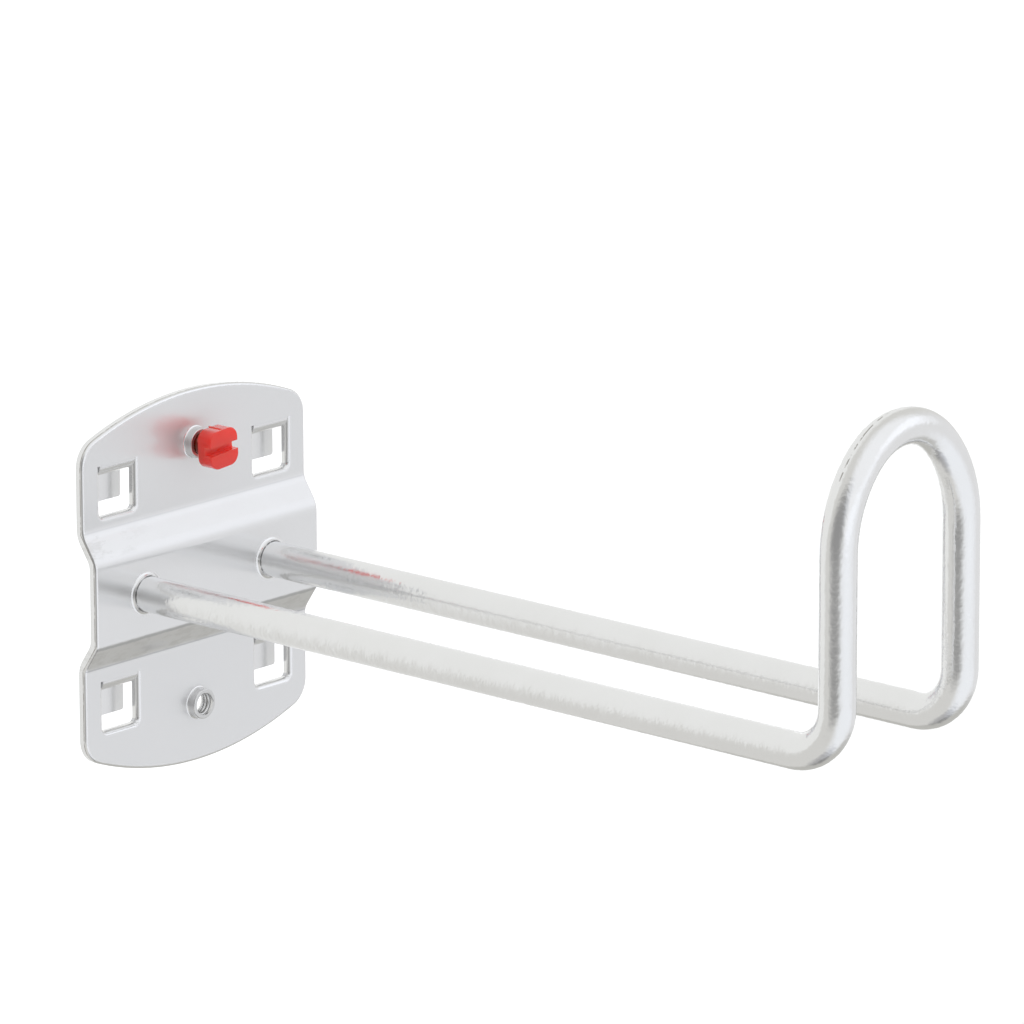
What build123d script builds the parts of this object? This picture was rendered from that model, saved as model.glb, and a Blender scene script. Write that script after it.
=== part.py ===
from build123d import *
import os
from math import atan2, cos, pi, sin, sqrt, tan

# Cable holder that hangs in a perforated panel with square holes on a 38 mm grid.
# Millimetres. The origin is the middle of the plane in which the plate's wings lie on the panel:
# X to the right seen from the front, -Y out towards the front along the arms, +Z up.

# ---------------------------------------------------------------- driving dimensions
sheet_t = 1.5            # sheet thickness of the plate
plate_half_w = 27.6      # half the plate's width
plate_top_z = 32.7       # crown of the arched top edge
plate_bottom_z = -33.7   # crown of the arched bottom edge
crown_r = 67.0           # radius of the arched top and bottom edges
corner_r = 5.0           # outline corners
band_out = 3.0           # how far the middle band stands in front of the wings
bend_low_z = 11.96       # front face: wing to slope
bend_high_z = 7.44       # front face: slope to band
bend_r = 3.3             # inner radius of the four long bends
low_edge_r = 1.2         # front of the band's lower bend, pressed sharper
edge_roll = 0.5          # rounding that the punch leaves on the front edges

pitch = 38.0             # panel grid, across and up
window_w = 8.5           # windows that the lugs are bent out of
window_h = 9.15
window_drop = 0.175      # windows' centres below the grid's rows
window_corner = 0.9
window_roll = 0.85       # rounding of the windows' front edges
lug_w = 8.44
lug_gap = 2.1            # room for the panel between the wings' back and the lug
lug_end_z = -2.8         # lower end of a lug, from the window's centre
lug_r = 0.6              # inner radius of the lug's two bends
lug_corner = 0.5         # lower corners of a lug

collar_z = 23.3          # drawn collars, above and below the middle
collar_r = 2.65
collar_h = 1.65
collar_bore_r = 2.0      # M4
collar_fillet = 0.28
collar_mouth = 0.5       # rounding of the drawn hole at the back

rod_d = 6.2              # bar, with its plating
rod_gap = 31.0           # arm to arm, centre to centre
rod_hole_d = 6.26
rod_lip_wall = 0.12      # low lip drawn up round the bar, with a hollow foot
rod_lip_h = 0.55
rod_lip_foot = 0.48
reach = 156.4 + sheet_t  # wall plane to the uprights' centre line
rod_bend_r = 9.0         # centre-line radius of the upward bends
upright_z = 33.8         # where the uprights turn into the arch
arch_flank_r = 20.0      # centre-line radius of the arch's sides
arch_crown_r = 13.5      # centre-line radius of the arch's crown
rod_tail = 1.1           # bar end behind the band
weld_leg = 1.9           # foot of the weld rings

screw_tilt = 4.5         # resting angle of the screw
head_af = 6.75           # square head, across flats
head_corner = 1.95       # radius of the head's four corners
head_edge = 0.18         # rounding of the head's edges
head_t = 3.2
head_front_y = -8.6
mould_w = 0.3            # mould line across the head's upper and lower flats
mould_h = 0.12
slot_w = 1.5
slot_d = 1.5
shank_r = 1.62           # root of the screw's thread
shank_tip_y = -0.2

os.makedirs("parts", exist_ok=True)

front_y = -sheet_t
band_front_y = -sheet_t - band_out
band_back_y = -band_out

# ---------------------------------------------------------------- mounting plate
fold = atan2(band_out, bend_low_z - bend_high_z)
shift = sheet_t * tan(fold / 2)      # back corners of the bends, towards the middle
over = plate_top_z + 3.0


def front_side(e):
    """True for an edge on the plate's front half-thickness."""
    c = e.center()
    z = abs(c.Z)
    k = min(max((bend_low_z - z) / (bend_low_z - bend_high_z), 0.0), 1.0)
    return c.Y < -sheet_t / 2 - band_out * k - 0.2


with BuildPart() as mounting_plate:
    # folded strip: wings, slopes and raised band
    with BuildSketch(Plane.YZ):
        with BuildLine():
            f = FilletPolyline(
                (front_y, -over),
                (front_y, -bend_low_z),
                (band_front_y, -bend_high_z),
                (band_front_y, bend_high_z),
                (front_y, bend_low_z),
                (front_y, over),
                radius=[bend_r, low_edge_r, bend_r + sheet_t, bend_r],
            )
            b = FilletPolyline(
                (0, over),
                (0, bend_low_z - shift),
                (band_back_y, bend_high_z - shift),
                (band_back_y, shift - bend_high_z),
                (0, shift - bend_low_z),
                (0, -over),
                radius=[bend_r + sheet_t, bend_r, bend_r, bend_r + sheet_t],
            )
            Line(f @ 1, b @ 0)
            Line(b @ 1, f @ 0)
        make_face()
    extrude(amount=plate_half_w + 2.0, both=True)

    # outline: straight sides, arched top and bottom, round corners
    with BuildSketch(Plane.XZ):
        drop = crown_r - sqrt(crown_r**2 - plate_half_w**2)
        high = plate_top_z - drop
        low = plate_bottom_z + drop
        with BuildLine():
            ThreePointArc((-plate_half_w, high), (0, plate_top_z), (plate_half_w, high))
            Line((plate_half_w, high), (plate_half_w, low))
            ThreePointArc((plate_half_w, low), (0, plate_bottom_z), (-plate_half_w, low))
            Line((-plate_half_w, low), (-plate_half_w, high))
        make_face()
        fillet(vertices(), radius=corner_r)
    extrude(amount=20, both=True, mode=Mode.INTERSECT)
    rim = edges().filter_by(front_side)
    fillet(rim.filter_by(lambda e: e.length > 0.05 and not (
        abs(e.center().X) < 1e-3 and e.geom_type == GeomType.LINE)), radius=edge_roll)

    # windows, with their die-rolled front edges
    with BuildSketch(Plane.XZ):
        with Locations((0, -window_drop)):
            with GridLocations(pitch, pitch, 2, 2):
                Rectangle(window_w, window_h)
        lower = vertices().filter_by(
            lambda v: abs(abs(v.Y + window_drop + window_h / 2) - pitch / 2) < 1e-3)
        fillet(lower, radius=window_corner)
    extrude(amount=5, both=True, mode=Mode.SUBTRACT)
    fillet(
        edges().filter_by(
            lambda e: abs(e.center().Y - front_y) < 1e-3
            and abs(abs(e.center().X) - pitch / 2) < window_w / 2 + 0.05
            and abs(abs(e.center().Z + window_drop) - pitch / 2) < window_h / 2 + 0.05
            and abs(abs(e.center().Z + window_drop - window_h / 2) - pitch / 2) > 0.05
        ),
        radius=window_roll,
    )

    # lugs: each flap turns back out of its window and then down behind the panel
    for lx in (-pitch / 2, pitch / 2):
        for lz in (-pitch / 2 - window_drop, pitch / 2 - window_drop):
            top = window_h / 2
            under = top - lug_r - sheet_t
            with BuildSketch(Plane(origin=(lx - lug_w / 2, 0, lz), x_dir=(0, 1, 0), z_dir=(1, 0, 0))):
                with BuildLine():
                    Line((0, top + 0.6), (front_y, top + 0.6))
                    Line((front_y, top + 0.6), (front_y, top))
                    RadiusArc((front_y, top), (lug_r, under), -(lug_r + sheet_t))
                    Line((lug_r, under), (lug_gap - lug_r, under))
                    RadiusArc((lug_gap - lug_r, under), (lug_gap, under - lug_r), lug_r)
                    Line((lug_gap, under - lug_r), (lug_gap, lug_end_z))
                    Line((lug_gap, lug_end_z), (lug_gap + sheet_t, lug_end_z))
                    Line((lug_gap + sheet_t, lug_end_z), (lug_gap + sheet_t, under - lug_r))
                    RadiusArc((lug_gap + sheet_t, under - lug_r), (lug_gap - lug_r, under + sheet_t), -(lug_r + sheet_t))
                    Line((lug_gap - lug_r, under + sheet_t), (lug_r, under + sheet_t))
                    RadiusArc((lug_r, under + sheet_t), (0, top), lug_r)
                    Line((0, top), (0, top + 0.6))
                make_face()
            extrude(amount=lug_w)
            fillet(
                edges().filter_by(Axis.Y).filter_by(
                    lambda e: abs(e.center().Z - lz - lug_end_z) < 1e-3
                    and abs(abs(e.center().X - lx) - lug_w / 2) < 1e-3),
                radius=lug_corner,
            )

    # drawn collars and their tapped holes
    with BuildSketch(Plane.XZ.offset(sheet_t)):
        with Locations((0, collar_z), (0, -collar_z)):
            Circle(collar_r)
    extrude(amount=collar_h)
    fillet(
        edges().filter_by(GeomType.CIRCLE).filter_by(
            lambda e: abs(e.radius - collar_r) < 1e-3 and abs(e.center().Y - front_y) < 1e-3),
        radius=collar_fillet,
    )
    with BuildSketch(Plane.XZ):
        with Locations((0, collar_z), (0, -collar_z)):
            Circle(collar_bore_r)
    extrude(amount=10, both=True, mode=Mode.SUBTRACT)
    fillet(
        edges().filter_by(GeomType.CIRCLE).filter_by(
            lambda e: abs(e.radius - collar_bore_r) < 1e-3 and abs(e.center().Y) < 1e-3),
        radius=collar_mouth,
    )
    fillet(
        edges().filter_by(GeomType.CIRCLE).filter_by(
            lambda e: abs(e.radius - collar_r) < 1e-3 and abs(e.center().Y - front_y + collar_h) < 1e-3),
        radius=0.2,
    )

    # rod holes in the band, each with a low lip drawn up round the bar
    with BuildSketch(Plane.XZ.offset(sheet_t + band_out)):
        with Locations((-rod_gap / 2, 0), (rod_gap / 2, 0)):
            Circle(rod_hole_d / 2 + rod_lip_wall)
    extrude(amount=rod_lip_h)
    fillet(
        edges().filter_by(GeomType.CIRCLE).filter_by(
            lambda e: abs(e.radius - rod_hole_d / 2 - rod_lip_wall) < 1e-3 and abs(e.center().Y - band_front_y) < 1e-3),
        radius=rod_lip_foot,
    )
    with BuildSketch(Plane.XZ):
        with Locations((-rod_gap / 2, 0), (rod_gap / 2, 0)):
            Circle(rod_hole_d / 2)
    extrude(amount=10, both=True, mode=Mode.SUBTRACT)
mounting_plate.part.label = "mounting_plate"
export_step(mounting_plate.part, "parts/mounting_plate.step")

# ---------------------------------------------------------------- hook rod
half = rod_gap / 2
tail_y = band_back_y + rod_tail
s45 = sqrt(0.5)
turn = (arch_flank_r - half) / (arch_flank_r - arch_crown_r)      # cosine of the flank's sweep
rise = sqrt(1 - turn**2)
flank_x = half - arch_flank_r * (1 - turn)                         # where flank and crown meet
flank_z = upright_z + arch_flank_r * rise
crown_z = upright_z + (arch_flank_r - arch_crown_r) * rise + arch_crown_r
mid_a = atan2(rise, turn) / 2
mid_x = half - arch_flank_r * (1 - cos(mid_a))
mid_z = upright_z + arch_flank_r * sin(mid_a)
bend_mid_y = -reach + rod_bend_r * (1 - s45)
bend_mid_z = rod_bend_r * (1 - s45)

with BuildPart() as hook_rod:
    with BuildLine() as centre_line:
        Line((-half, tail_y, 0), (-half, -reach + rod_bend_r, 0))
        ThreePointArc((-half, -reach + rod_bend_r, 0), (-half, bend_mid_y, bend_mid_z), (-half, -reach, rod_bend_r))
        Line((-half, -reach, rod_bend_r), (-half, -reach, upright_z))
        ThreePointArc((-half, -reach, upright_z), (-mid_x, -reach, mid_z), (-flank_x, -reach, flank_z))
        ThreePointArc((-flank_x, -reach, flank_z), (0, -reach, crown_z), (flank_x, -reach, flank_z))
        ThreePointArc((flank_x, -reach, flank_z), (mid_x, -reach, mid_z), (half, -reach, upright_z))
        Line((half, -reach, upright_z), (half, -reach, rod_bend_r))
        ThreePointArc((half, -reach, rod_bend_r), (half, bend_mid_y, bend_mid_z), (half, -reach + rod_bend_r, 0))
        Line((half, -reach + rod_bend_r, 0), (half, tail_y, 0))
    with BuildSketch(Plane(origin=(-half, tail_y, 0), z_dir=(0, -1, 0))):
        Circle(rod_d / 2)
    sweep(path=centre_line.wire())
    chamfer(edges().filter_by(GeomType.CIRCLE).filter_by(
        lambda e: abs(e.center().Y - tail_y) < 1e-3), length=0.3)
hook_rod.part.label = "hook_rod"
export_step(hook_rod.part, "parts/hook_rod.step")

# ---------------------------------------------------------------- weld rings behind the band
with BuildPart() as rod_welds:
    for wx in (-half, half):
        with BuildSketch(Plane(origin=(wx, 0, 0), x_dir=(1, 0, 0), z_dir=(0, 0, 1))):
            with BuildLine():
                Line((rod_d / 2, band_back_y), (rod_d / 2 + weld_leg, band_back_y))
                ThreePointArc(
                    (rod_d / 2 + weld_leg, band_back_y),
                    (rod_d / 2 + weld_leg * 0.62, band_back_y + 0.62),
                    (rod_d / 2, band_back_y + rod_tail - 0.3),
                )
                Line((rod_d / 2, band_back_y + rod_tail - 0.3), (rod_d / 2, band_back_y))
            make_face()
        revolve(axis=Axis((wx, 0, 0), (0, 1, 0)))
rod_welds.part.label = "rod_welds"
export_step(rod_welds.part, "parts/rod_welds.step")

# ---------------------------------------------------------------- locking screw
head_back_y = head_front_y + head_t
with BuildPart() as locking_screw:
    # square head with round corners
    with BuildSketch(Plane.XZ.offset(-head_back_y)):
        with Locations((0, collar_z)):
            Rectangle(head_af, head_af, rotation=screw_tilt)
        fillet(vertices(), radius=head_corner)
    extrude(amount=head_t)
    fillet(edges(), radius=head_edge)
    # mould line: a low rib across the upper and the lower flat
    with BuildSketch(Plane.XZ.offset(-head_back_y - head_edge)):
        with Locations((0, collar_z)):
            Rectangle(mould_w, head_af + 2 * mould_h, rotation=screw_tilt)
    extrude(amount=head_t - 2 * head_edge)
    # driver slot
    with BuildSketch(Plane.XZ.offset(-head_front_y)):
        with Locations((0, collar_z)):
            Rectangle(2 * head_af, slot_w, rotation=screw_tilt)
    extrude(amount=-slot_d, mode=Mode.SUBTRACT)
    # shank
    with BuildSketch(Plane.XZ.offset(-head_back_y)):
        with Locations((0, collar_z)):
            Circle(shank_r)
    extrude(amount=head_back_y - shank_tip_y)
    chamfer(edges().filter_by(GeomType.CIRCLE).filter_by(
        lambda e: abs(e.center().Y - shank_tip_y) < 1e-3), length=0.4)
locking_screw.part.label = "locking_screw"
export_step(locking_screw.part, "parts/locking_screw.step")
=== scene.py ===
import math
import bpy
from mathutils import Matrix, Vector


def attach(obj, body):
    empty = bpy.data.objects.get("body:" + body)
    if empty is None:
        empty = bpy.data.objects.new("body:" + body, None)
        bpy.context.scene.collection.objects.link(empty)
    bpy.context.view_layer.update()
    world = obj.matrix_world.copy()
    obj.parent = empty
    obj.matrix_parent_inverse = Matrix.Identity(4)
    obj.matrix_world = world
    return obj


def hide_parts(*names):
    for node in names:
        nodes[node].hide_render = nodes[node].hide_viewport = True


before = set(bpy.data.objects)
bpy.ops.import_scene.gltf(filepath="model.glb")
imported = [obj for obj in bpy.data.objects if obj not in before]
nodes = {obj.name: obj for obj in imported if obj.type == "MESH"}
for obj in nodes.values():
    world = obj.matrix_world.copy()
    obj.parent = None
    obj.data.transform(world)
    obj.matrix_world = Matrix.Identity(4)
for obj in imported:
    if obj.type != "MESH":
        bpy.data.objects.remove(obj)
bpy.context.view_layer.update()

MM = 0.001
scene = bpy.context.scene


# ---------------------------------------------------------------- small helpers
def new_material(name):
    m = bpy.data.materials.new(name)
    m.use_nodes = True
    nt = m.node_tree
    nt.nodes.clear()
    out = nt.nodes.new("ShaderNodeOutputMaterial")
    bsdf = nt.nodes.new("ShaderNodeBsdfPrincipled")
    nt.links.new(bsdf.outputs["BSDF"], out.inputs["Surface"])
    return m, nt, bsdf


def put(nt, socket, value):
    if isinstance(value, bpy.types.NodeSocket):
        nt.links.new(value, socket)
    else:
        socket.default_value = value


def math_node(nt, op, a, b=None, clamp=False):
    n = nt.nodes.new("ShaderNodeMath")
    n.operation = op
    n.use_clamp = clamp
    put(nt, n.inputs[0], a)
    if b is not None:
        put(nt, n.inputs[1], b)
    return n.outputs[0]


def vec_node(nt, op, a, b=None, scale=None):
    n = nt.nodes.new("ShaderNodeVectorMath")
    n.operation = op
    put(nt, n.inputs[0], a)
    if b is not None:
        put(nt, n.inputs[1], b)
    if scale is not None:
        put(nt, n.inputs["Scale"], scale)
    return n.outputs["Value"] if op in ("DOT_PRODUCT", "LENGTH", "DISTANCE") else n.outputs["Vector"]


def map_range(nt, value, a, b, c, d, kind="SMOOTHSTEP"):
    n = nt.nodes.new("ShaderNodeMapRange")
    n.interpolation_type = kind
    put(nt, n.inputs["Value"], value)
    n.inputs["From Min"].default_value = a
    n.inputs["From Max"].default_value = b
    n.inputs["To Min"].default_value = c
    n.inputs["To Max"].default_value = d
    return n.outputs["Result"]


def noise(nt, coords, scale, detail=2.0, rough=0.5, stretch=None):
    if stretch is not None:
        mp = nt.nodes.new("ShaderNodeMapping")
        mp.inputs["Scale"].default_value = stretch
        nt.links.new(coords, mp.inputs["Vector"])
        coords = mp.outputs["Vector"]
    n = nt.nodes.new("ShaderNodeTexNoise")
    n.inputs["Scale"].default_value = scale
    n.inputs["Detail"].default_value = detail
    n.inputs["Roughness"].default_value = rough
    nt.links.new(coords, n.inputs["Vector"])
    return n.outputs["Fac"]


def mix_colour(nt, fac, a, b):
    n = nt.nodes.new("ShaderNodeMix")
    n.data_type = "RGBA"
    put(nt, n.inputs[0], fac)
    for s, v in ((n.inputs[6], a), (n.inputs[7], b)):
        put(nt, s, v if isinstance(v, bpy.types.NodeSocket) else (*v, 1.0))
    return n.outputs[2]


def bump(nt, height, strength, distance, normal=None):
    n = nt.nodes.new("ShaderNodeBump")
    n.inputs["Strength"].default_value = strength
    n.inputs["Distance"].default_value = distance
    nt.links.new(height, n.inputs["Height"])
    if normal is not None:
        nt.links.new(normal, n.inputs["Normal"])
    return n.outputs["Normal"]


def object_coords(nt):
    return nt.nodes.new("ShaderNodeTexCoord").outputs["Object"]


def use(obj, material):
    obj.data.materials.clear()
    obj.data.materials.append(material)


def mesh_object(name, verts, faces, smooth=True):
    me = bpy.data.meshes.new(name)
    me.from_pydata(verts, [], faces)
    me.update()
    if smooth:
        me.polygons.foreach_set("use_smooth", [True] * len(me.polygons))
    o = bpy.data.objects.new(name, me)
    scene.collection.objects.link(o)
    return o


def direction(az, el):
    a, e = math.radians(az), math.radians(el)
    return Vector((math.sin(a) * math.cos(e), -math.cos(a) * math.cos(e), math.sin(e)))


# ---------------------------------------------------------------- studio surroundings
# Azimuth 0 is in front of the holder (-Y), 90 to its right (+X). Each soft patch of light or shade is
# (azimuth, elevation, vertical stretch, inner radius, outer radius, change of brightness per channel).
BASE_LIGHT = (0.745, 0.740, 0.718)
PATCHES = [
    (8, 30, 1.35, 32, 60, (0.262, 0.280, 0.325)),       # large soft box in front
    (50, 17, 2.4, 20, 26, (0.09, 0.095, 0.105)),        # strip light beside it
    (-2, -34, 1.0, 14, 50, (0.245, 0.275, 0.335)),      # light on the floor in front
    (178, 10, 1.05, 50, 62, (0.195, 0.205, 0.215)),     # white backdrop behind
    (134, -16, 1.0, 17, 27, (0.264, 0.269, 0.291)),       # pool of light on the floor behind
    (-68, 5, 1.1, 8, 47, (-0.435, -0.43, -0.41)),       # dark side of the room, left
    (-22, -79, 0.8, 4, 29, (-0.30, -0.297, -0.27)),   # shade below
    (100, -60, 1.0, 27, 36, (-0.195, -0.195, -0.20)),    # shade, low on the right
    (65, -3, 1.0, 22, 52, (0.100, 0.108, 0.140)),       # pale wall on the right
]


def studio(nt, vec):
    total = None
    for az, el, stretch, r_in, r_out, change in PATCHES:
        axis = direction(az, el)
        axis = Vector((axis.x, axis.y, axis.z * stretch)).normalized()
        v = vec
        if stretch != 1.0:
            v = vec_node(nt, "NORMALIZE", vec_node(nt, "MULTIPLY", vec, (1.0, 1.0, stretch)))
        d = vec_node(nt, "DOT_PRODUCT", v, tuple(axis))
        w = map_range(nt, d, math.cos(math.radians(r_out)), math.cos(math.radians(r_in)), 0.0, 1.0)
        part = vec_node(nt, "SCALE", change, scale=w)
        total = vec_node(nt, "ADD", BASE_LIGHT if total is None else total, part)
    return vec_node(nt, "MAXIMUM", total, (0.12, 0.12, 0.12))


world = bpy.data.worlds.new("studio")
scene.world = world
world.use_nodes = True
wt = world.node_tree
wt.links.new(studio(wt, wt.nodes.new("ShaderNodeTexCoord").outputs["Generated"]),
             wt.nodes["Background"].inputs["Color"])
wt.nodes["Background"].inputs["Strength"].default_value = 1.0

FLOOR_Z = -0.35
floor = mesh_object("floor", [(-9, -9, FLOOR_Z), (9, -9, FLOOR_Z), (9, 9, FLOOR_Z), (-9, 9, FLOOR_Z)],
                    [(0, 1, 2, 3)], smooth=False)
# painted light: the floor is no lamp but glows, its brightness painted from the same patches of light and shade as the
# surroundings, as seen from a point near the holder
m = bpy.data.materials.new("floor_glowing_painted_light")
m.use_nodes = True
nt = m.node_tree
nt.nodes.clear()
out = nt.nodes.new("ShaderNodeOutputMaterial")
glow = nt.nodes.new("ShaderNodeEmission")
here = nt.nodes.new("ShaderNodeNewGeometry").outputs["Position"]
away = vec_node(nt, "NORMALIZE", vec_node(nt, "SUBTRACT", here, (0.0, -0.1, 0.02)))
nt.links.new(studio(nt, away), glow.inputs["Color"])
glow.inputs["Strength"].default_value = 1.0
nt.links.new(glow.outputs["Emission"], out.inputs["Surface"])
use(floor, m)


# ---------------------------------------------------------------- materials
def plated(name, base, tint, rough, spread, waves):
    """Bright zinc plating: cloudy in tone, uneven in gloss. waves is (scale, height in metres) of its unevenness."""
    m, nt, b = new_material(name)
    co = object_coords(nt)
    cloud = noise(nt, co, 90.0, 3.0, 0.55)
    b.inputs["Metallic"].default_value = 1.0
    tone = mix_colour(nt, map_range(nt, cloud, 0.35, 0.65, 0.0, 1.0), tint, base)
    nt.links.new(tone, b.inputs["Base Color"])
    nt.links.new(map_range(nt, cloud, 0.3, 0.7, rough - spread, rough + spread), b.inputs["Roughness"])
    normal = None
    for scale, height in waves:
        normal = bump(nt, noise(nt, co, scale, 2.0, 0.5), 1.0, height, normal)
    nt.links.new(normal, b.inputs["Normal"])
    return m, nt, b, co, tone


sheet_mat, nt, b, co, tone = plated(
    "plated_sheet_finish_and_painted_shade", (0.795, 0.794, 0.796), (0.78, 0.779, 0.780), 0.30, 0.02, [(700.0, 0.0000015)])
# rolled grain runs up and down the sheet, so that reflections smear sideways, under a thin clear film
b.inputs["Anisotropic"].default_value = 0.92
b.inputs["Coat Weight"].default_value = 1.0
b.inputs["Coat IOR"].default_value = 2.1
face = nt.nodes.new("ShaderNodeNewGeometry").outputs["Normal"]
across = vec_node(nt, "CROSS_PRODUCT", face, (0.04, 0.09, 0.995))
nt.links.new(across, b.inputs["Tangent"])
turned = nt.nodes.new("ShaderNodeSeparateXYZ")
nt.links.new(face, turned.inputs[0])
place = nt.nodes.new("ShaderNodeSeparateXYZ")
nt.links.new(co, place.inputs[0])
px, py, pz = place.outputs
side, ahead, rise = (math_node(nt, "ABSOLUTE", t) for t in turned.outputs)
height = math_node(nt, "ABSOLUTE", pz)

# what the tools have burnished: rims, collars, lugs, lips and the round of the windows
outer = map_range(nt, height, 0.0135, 0.0145, 0.0, 1.0)
sideways = map_range(nt, side, 0.10, 0.30, 0.0, 1.0)
upwards = math_node(nt, "MULTIPLY", outer, map_range(nt, rise, 0.10, 0.30, 0.0, 1.0))
from_bar = math_node(nt, "SQRT", math_node(nt, "ADD", math_node(nt, "MULTIPLY", pz, pz), math_node(
    nt, "POWER", math_node(nt, "SUBTRACT", math_node(nt, "ABSOLUTE", px), 0.0155), 2.0)))
lip = map_range(nt, from_bar, 0.00375, 0.0040, 1.0, 0.0)
turned_back = map_range(nt, py, 0.0002, 0.0006, 0.0, 1.0)
rim = math_node(nt, "MAXIMUM", math_node(nt, "MAXIMUM", lip, turned_back), math_node(nt, "MAXIMUM", sideways, upwards))
plain = b.inputs["Roughness"].links[0].from_socket
plain = math_node(nt, "MULTIPLY", plain, map_range(nt, height, 0.0115, 0.0135, 1.0, 1.25))
nt.links.new(map_range(nt, height, 0.0115, 0.0135, 0.06, 0.22), b.inputs["Coat Roughness"])
nt.links.new(math_node(nt, "MULTIPLY", plain, map_range(nt, rim, 0.0, 1.0, 1.0, 0.42, "LINEAR")), b.inputs["Roughness"])

# marks along the lower slope and the left end of the upper slope; and painted shade in dark blue-grey lines along the
# bends, standing in for a dark reflection there
marks = map_range(nt, noise(nt, co, 160.0, 4.0, 0.65, (1.4, 1.0, 3.6)), 0.45, 0.60, 0.0, 1.0)
low_band = math_node(nt, "MULTIPLY", map_range(nt, pz, -0.0124, -0.0118, 0.0, 1.0),
                     map_range(nt, pz, -0.0084, -0.0074, 1.0, 0.0))
high_band = math_node(nt, "MULTIPLY", map_range(nt, pz, 0.0074, 0.0084, 0.0, 1.0),
                      map_range(nt, pz, 0.0112, 0.0122, 1.0, 0.0))
high_band = math_node(nt, "MULTIPLY", high_band, map_range(nt, px, -0.024, -0.010, 1.3, 0.1))
worn = math_node(nt, "MULTIPLY", marks, math_node(nt, "ADD", low_band, high_band))
wander = math_node(nt, "MULTIPLY", math_node(nt, "SUBTRACT", noise(nt, co, 420.0, 3.0, 0.6), 0.5), 0.0007)
wavy_z = math_node(nt, "ADD", pz, wander)
# painted shade: thin dark lines along the bends, the first one wavy
bend_shade_a = map_range(nt, math_node(nt, "ABSOLUTE", math_node(nt, "ADD", wavy_z, 0.0078)), 0.0001, 0.0005, 0.6, 0.0)
bend_shade_b = map_range(nt, math_node(nt, "ABSOLUTE", math_node(nt, "ADD", pz, 0.0121)), 0.00005, 0.00022, 0.55, 0.0)
bend_shade_c = map_range(nt, math_node(nt, "ABSOLUTE", math_node(nt, "SUBTRACT", pz, 0.0122)), 0.00005, 0.0002, 0.18, 0.0)
on_front = map_range(nt, turned.outputs[1], -0.75, -0.55, 1.0, 0.0)
bend_shade = math_node(nt, "MULTIPLY", on_front, math_node(nt, "ADD", bend_shade_a, math_node(nt, "ADD", bend_shade_b, bend_shade_c)))
tone = mix_colour(nt, math_node(nt, "MULTIPLY", worn, 0.45), tone, (0.62, 0.612, 0.60))
# painted shade along the bends, mixed into the colour
tone = mix_colour(nt, bend_shade, tone, (0.40, 0.41, 0.44))

# broken dark line where the shear ended on the cut edges, seen from the sheet's own front
lift = map_range(nt, height, 0.00744, 0.01196, 0.003, 0.0, "LINEAR")
depth = math_node(nt, "ADD", math_node(nt, "ADD", py, 0.0015), lift)
line = map_range(nt, math_node(nt, "ABSOLUTE", math_node(nt, "SUBTRACT", depth, 0.00052)), 0.00004, 0.00013, 1.0, 0.0)
broken = map_range(nt, noise(nt, co, 700.0, 3.0, 0.6), 0.36, 0.50, 0.25, 1.0)
cut = math_node(nt, "MULTIPLY", map_range(nt, ahead, 0.25, 0.45, 1.0, 0.0), math_node(nt, "MULTIPLY", line, broken))
near_rim = math_node(nt, "MAXIMUM", map_range(nt, math_node(nt, "ABSOLUTE", px), 0.0265, 0.0268, 0.0, 1.0),
                     map_range(nt, height, 0.0262, 0.0266, 0.0, 1.0))
tone = mix_colour(nt, math_node(nt, "MULTIPLY", cut, math_node(nt, "MULTIPLY", near_rim, 0.8)), tone, (0.17, 0.15, 0.125))

# the drawn collars are a duller grey
ring = math_node(nt, "SQRT", math_node(nt, "ADD", math_node(nt, "MULTIPLY", px, px),
                 math_node(nt, "POWER", math_node(nt, "SUBTRACT", height, 0.0233), 2.0)))
drawn = math_node(nt, "MULTIPLY", map_range(nt, ring, 0.00275, 0.0029, 1.0, 0.0), map_range(nt, py, -0.0020, -0.0017, 1.0, 0.0))
tone = mix_colour(nt, math_node(nt, "MULTIPLY", drawn, 0.7), tone, (0.58, 0.575, 0.565))

# painted shade: a broken near-black line on the lip where the gap between each lip and the bar lies
lip_gap_shade = math_node(nt, "MULTIPLY", map_range(nt, from_bar, 0.00320, 0.00327, 1.0, 0.0), map_range(nt, py, -0.00495, -0.00485, 1.0, 0.0))
lip_gap_shade = math_node(nt, "MULTIPLY", lip_gap_shade, map_range(nt, noise(nt, co, 620.0, 3.0, 0.6), 0.42, 0.52, 0.1, 0.95))
# painted shade of the gap, mixed into the colour
tone = mix_colour(nt, lip_gap_shade, tone, (0.07, 0.065, 0.06))
nt.links.new(tone, b.inputs["Base Color"])

# the flat wings carry more haze than the pressed band, and burnished places carry none
bare = map_range(nt, height, 0.0115, 0.0135, 0.88, 0.64)
nt.links.new(math_node(nt, "MAXIMUM", bare, math_node(nt, "MAXIMUM", rim, drawn)), b.inputs["Metallic"])

bar_mat, nt, b, co, tone = plated(
    "plated_bar_finish", (0.84, 0.84, 0.84), (0.825, 0.825, 0.822), 0.17, 0.02, [(420.0, 0.00006), (950.0, 0.000045), (2200.0, 0.00002)])
b.inputs["Metallic"].default_value = 0.93
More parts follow.
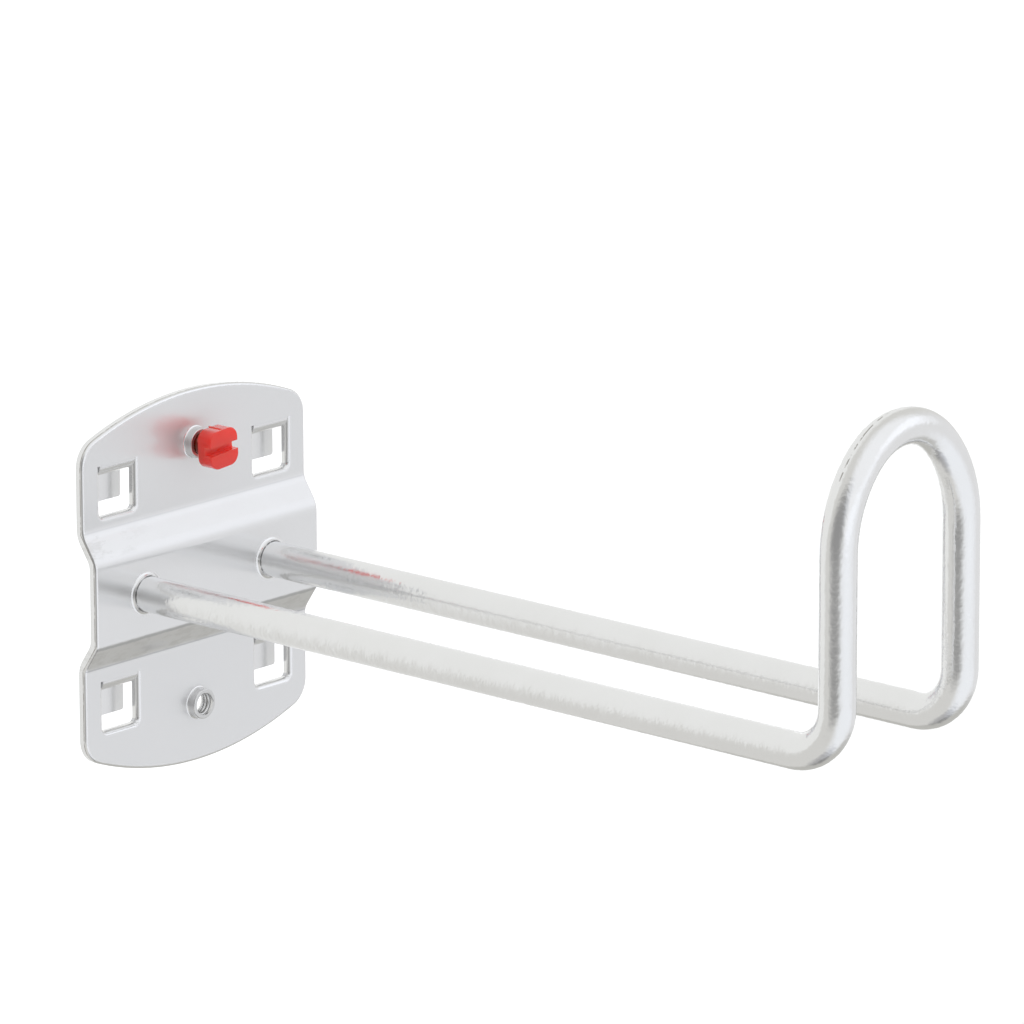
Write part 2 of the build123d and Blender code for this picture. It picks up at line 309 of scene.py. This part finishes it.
# drawn along its length, so that reflections smear round the bar: its direction on arms, bends, uprights and arch
place = nt.nodes.new("ShaderNodeSeparateXYZ")
nt.links.new(co, place.inputs[0])
px, py, pz = place.outputs
on_arch = math_node(nt, "GREATER_THAN", pz, 0.0338)
along_x = math_node(nt, "MINIMUM", math_node(nt, "SUBTRACT", 0.0338, pz), 0.0)
along_y = math_node(nt, "MINIMUM", math_node(nt, "SUBTRACT", pz, 0.009), 0.0)
along_z = math_node(nt, "MAXIMUM", math_node(nt, "SUBTRACT", -0.1489, py), 0.0)
along_z = math_node(nt, "ADD", math_node(nt, "MULTIPLY", along_z, math_node(nt, "SUBTRACT", 1.0, on_arch)),
                    math_node(nt, "MULTIPLY", px, on_arch))
along = nt.nodes.new("ShaderNodeCombineXYZ")
for socket, value in zip(along.inputs, (along_x, along_y, along_z)):
    nt.links.new(value, socket)
face = nt.nodes.new("ShaderNodeNewGeometry").outputs["Normal"]
# (a touch askew, so that it is never square to the bar's flat ends)
askew = vec_node(nt, "ADD", along.outputs[0], (0.00025, 0.0, 0.00018))
nt.links.new(vec_node(nt, "NORMALIZE", vec_node(nt, "CROSS_PRODUCT", face, askew)), b.inputs["Tangent"])
nt.links.new(map_range(nt, py, -0.130, -0.045, 0.2, 0.88), b.inputs["Anisotropic"])
# broken dark scuff along the arch's outer crest, on its left shoulder
crest = map_range(nt, math_node(nt, "ABSOLUTE", math_node(nt, "ADD", py, 0.1577)), 0.00005, 0.00022, 1.0, 0.0)
shoulder = math_node(nt, "MULTIPLY", map_range(nt, pz, 0.0450, 0.0468, 0.0, 1.0), map_range(nt, px, -0.0045, -0.0025, 1.0, 0.0))
upper = nt.nodes.new("ShaderNodeSeparateXYZ")
nt.links.new(face, upper.inputs[0])
shoulder = math_node(nt, "MULTIPLY", shoulder, map_range(nt, upper.outputs[2], 0.1, 0.3, 0.0, 1.0))
scuff = math_node(nt, "MULTIPLY", map_range(nt, noise(nt, co, 520.0, 3.0, 0.6), 0.44, 0.54, 0.0, 0.75), math_node(nt, "MULTIPLY", crest, shoulder))
nt.links.new(mix_colour(nt, scuff, tone, (0.22, 0.205, 0.18)), b.inputs["Base Color"])
plain = b.inputs["Roughness"].links[0].from_socket
nt.links.new(math_node(nt, "MULTIPLY", plain, map_range(nt, py, -0.130, -0.045, 0.68, 1.0)), b.inputs["Roughness"])

weld_mat, nt, b, co, tone = plated(
    "weld_finish", (0.72, 0.71, 0.70), (0.62, 0.60, 0.58), 0.36, 0.08, [(1200.0, 0.000006)])

red_mat, nt, b = new_material("red_plastic_finish")
co = object_coords(nt)
flow = noise(nt, co, 260.0, 3.0, 0.5)
nt.links.new(mix_colour(nt, map_range(nt, flow, 0.35, 0.65, 0.0, 1.0), (0.86, 0.030, 0.015), (0.90, 0.036, 0.018)),
             b.inputs["Base Color"])
b.inputs["IOR"].default_value = 1.58
b.inputs["Subsurface Weight"].default_value = 1.0
b.inputs["Subsurface Radius"].default_value = (1.0, 0.06, 0.03)
b.inputs["Subsurface Scale"].default_value = 0.012
graze = nt.nodes.new("ShaderNodeLayerWeight").outputs["Facing"]
nt.links.new(map_range(nt, graze, 0.45, 0.70, 0.0, 0.9), b.inputs["Coat Weight"])
b.inputs["Coat Roughness"].default_value = 0.15
nt.links.new(map_range(nt, noise(nt, co, 900.0, 2.0), 0.3, 0.7, 0.14, 0.21), b.inputs["Roughness"])
nt.links.new(bump(nt, noise(nt, co, 3500.0, 2.0), 0.2, 0.000004), b.inputs["Normal"])

use(nodes["mounting_plate"], sheet_mat)
use(nodes["hook_rod"], bar_mat)
use(nodes["rod_welds"], weld_mat)
use(nodes["locking_screw"], red_mat)


# ---------------------------------------------------------------- screw threads
def helix(name, x0, z0, y_start, y_end, root_r, crest_r, pitch, width, flat, per_turn=48):
    """A closed ridge of trapezoid section that winds from y_start to y_end and fades out at both ends."""
    turns = abs(y_end - y_start) / pitch
    n = int(turns * per_turn)
    sign = 1.0 if y_end > y_start else -1.0
    verts, faces = [], []
    for i in range(n + 1):
        t = i / n
        a = 2 * math.pi * turns * t
        y = y_start + (y_end - y_start) * t
        fade = min(1.0, min(t, 1 - t) * turns / 0.35)
        c = root_r + (crest_r - root_r) * (0.02 + 0.98 * fade)
        for r, dy in ((root_r, -width / 2), (c, -flat / 2), (c, flat / 2), (root_r, width / 2)):
            verts.append(((x0 + r * math.cos(a)) * MM, (y + sign * dy) * MM, (z0 + r * math.sin(a)) * MM))
        if i:
            p, q = 4 * (i - 1), 4 * i
            for k in range(4):
                faces.append((p + k, p + (k + 1) % 4, q + (k + 1) % 4, q + k))
    faces.append((3, 2, 1, 0))
    faces.append((4 * n, 4 * n + 1, 4 * n + 2, 4 * n + 3))
    me = mesh_object(name, verts, faces, smooth=True)
    return me


collar_thread = helix("collar_thread", 0.0, -23.3, -2.98, -0.45, 2.02, 1.66, 0.7, 0.62, 0.10)
use(collar_thread, sheet_mat)
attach(collar_thread, "bracket")

screw_thread = helix("screw_thread", 0.0, 23.3, -5.3, -0.35, 1.60, 1.94, 0.7, 0.60, 0.10)
use(screw_thread, red_mat)
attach(screw_thread, "screw")


# ---------------------------------------------------------------- weld beads behind the band
def bead(name, x0, phase):
    """Weld ring round the bar's end: scale-like ripples, each laid over the one before."""
    seg, verts, faces = 160, [], []
    prof = [(3.02, 0.30), (3.06, 0.74), (3.35, 0.86), (3.75, 0.80), (4.15, 0.64), (4.55, 0.38), (4.86, 0.10), (4.92, -0.05), (3.02, -0.05)]
    for i in range(seg):
        a = 2 * math.pi * i / seg
        s = (a * 22 / (2 * math.pi) + phase) % 1.0
        scale = 1.0 - 0.16 * s + 0.05 * math.sin(3 * a + phase)
        for r, h in prof:
            k = (r - 3.02) / 1.9
            rr = 3.02 + (r - 3.02) * (1.0 - 0.06 * s + 0.03 * math.sin(2 * a + 1.3 + phase))
            hh = h if h < 0 else h * (1 - k * 0.5 + k * 0.5 * scale) * (0.93 + 0.07 * scale)
            verts.append(((x0 + rr * math.cos(a)) * MM, (-3.0 + hh) * MM, rr * math.sin(a) * MM))
    n = len(prof)
    for i in range(seg):
        j = (i + 1) % seg
        for k in range(n):
            faces.append((i * n + k, i * n + (k + 1) % n, j * n + (k + 1) % n, j * n + k))
    return mesh_object(name, verts, faces, smooth=True)


for side, x0, ph in (("left", -15.5, 0.2), ("right", 15.5, 0.65)):
    o = bead("weld_bead_" + side, x0, ph)
    use(o, weld_mat)
    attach(o, "bracket")
    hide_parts("rod_welds")

# ---------------------------------------------------------------- camera
AZ, EL, ROLL = math.radians(-48.181), math.radians(14.731), math.radians(-0.139)
back = Vector((math.sin(AZ) * math.cos(EL), -math.cos(AZ) * math.cos(EL), math.sin(EL)))
right = Vector((math.cos(AZ), math.sin(AZ), 0))
up = back.cross(right)
right, up = right * math.cos(ROLL) + up * math.sin(ROLL), up * math.cos(ROLL) - right * math.sin(ROLL)
cam_data = bpy.data.cameras.new("camera")
cam_data.sensor_width = 36.0
cam_data.lens = 8404.106 * 36.0 / 1024.0
cam_data.clip_start, cam_data.clip_end = 0.05, 50
cam = bpy.data.objects.new("camera", cam_data)
scene.collection.objects.link(cam)
cam.matrix_world = Matrix.Translation(Vector((-1.00791888, -0.97646791, 0.37909445))) @ Matrix((right, up, back)).transposed().to_4x4()
scene.camera = cam
scene.view_settings.view_transform = "Standard"
